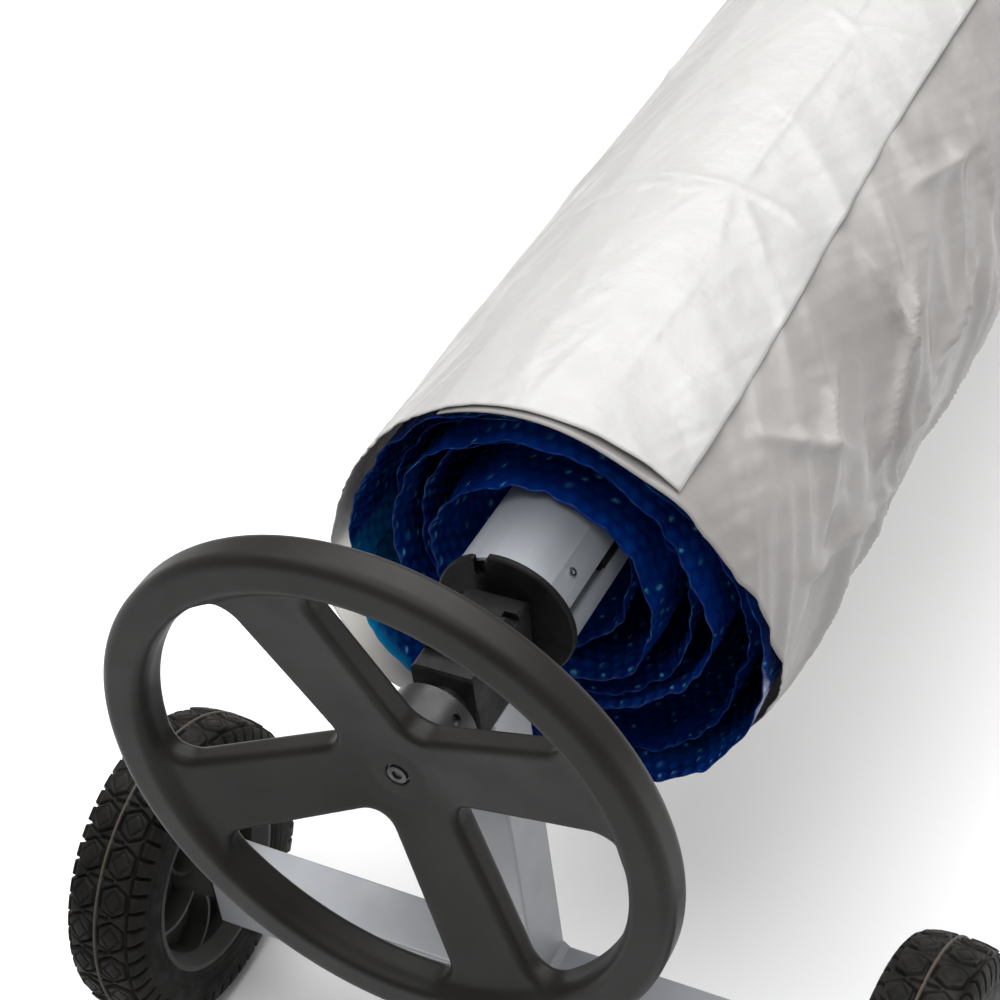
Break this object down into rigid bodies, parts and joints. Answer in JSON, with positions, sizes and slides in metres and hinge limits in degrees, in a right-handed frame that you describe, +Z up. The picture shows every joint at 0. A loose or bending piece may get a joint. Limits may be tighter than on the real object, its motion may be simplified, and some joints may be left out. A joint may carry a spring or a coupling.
{
  "type": "pool cover reel",
  "caption": "Hand-turned pool cover reel: winding tube on two inverted-T stands, one on wheels, with a dished handwheel and a slack roll of blue bubble blanket under a white cover sheet.",
  "frame": {"origin": "on the floor, below the middle of the whole reel's box", "axes": "+X across the stands, +Y along the winding tube away from the handwheel, +Z up"},
  "size_m": [0.704, 3.468, 0.684],
  "materials": {
    "charcoal_plastic": "satin",
    "grey_plastic": "satin",
    "black_plastic": "satin",
    "bush_plastic": "satin",
    "anodised_aluminium": "satin",
    "steel": "satin",
    "tyre_rubber": "matte",
    "foot_rubber": "matte",
    "bubble_film": "gloss",
    "white_sheet": "satin"
  },
  "bodies": {
    "stands": {"axle_nuts": "steel", "axle_washers": "steel", "far_bar_end_plugs": "black_plastic", "far_base_bar": "anodised_aluminium", "far_bearing_base": "black_plastic", "far_bearing_bush": "bush_plastic", "far_bearing_cap": "black_plastic", "far_bearing_screws": "steel", "far_post": "anodised_aluminium", "far_post_plug": "black_plastic", "far_weld_beads": "anodised_aluminium", "foot_screws": "steel", "near_bar_end_plugs": "black_plastic", "near_base_bar": "anodised_aluminium", "near_bearing_base": "black_plastic", "near_bearing_bush": "bush_plastic", "near_bearing_cap": "black_plastic", "near_bearing_screws": "steel", "near_post": "anodised_aluminium", "near_post_plug": "black_plastic", "near_weld_beads": "anodised_aluminium", "rubber_feet": "foot_rubber", "wheel_axle": "steel"},
    "reel": {"handwheel": "charcoal_plastic", "handwheel_bolt": "steel", "handwheel_washer": "steel", "drive_sleeve": "grey_plastic", "sleeve_grub_screws": "steel", "near_shaft": "steel", "far_shaft": "steel", "far_collar": "anodised_aluminium", "far_collar_grub_screw": "steel", "tube_near_half": "anodised_aluminium", "tube_far_half": "anodised_aluminium", "tube_joiner": "anodised_aluminium", "joiner_screws": "steel", "near_end_flange": "black_plastic", "far_end_flange": "black_plastic", "near_end_screws": "steel", "far_end_screws": "steel", "blanket_clamp_strip": "black_plastic", "bubble_blanket": "bubble_film", "white_cover": "white_sheet"},
    "left_wheel": {"left_tyre": "tyre_rubber", "left_wheel_bushes": "bush_plastic", "left_wheel_rim": "grey_plastic"},
    "right_wheel": {"right_tyre": "tyre_rubber", "right_wheel_bushes": "bush_plastic", "right_wheel_rim": "grey_plastic"}
  },
  "joints": [
    {"name": "reel_spin", "type": "hinge", "parent": "stands", "child": "reel", "pos_m": [0, -1.5872, 0.4715], "axis": [0, 1, 0], "continuous": true},
    {"name": "left_wheel_roll", "type": "hinge", "parent": "stands", "child": "left_wheel", "pos_m": [-0.317, -1.5872, 0.13], "axis": [1, 0, 0], "continuous": true},
    {"name": "right_wheel_roll", "type": "hinge", "parent": "stands", "child": "right_wheel", "pos_m": [0.317, -1.5872, 0.13], "axis": [1, 0, 0], "continuous": true}
  ]
}
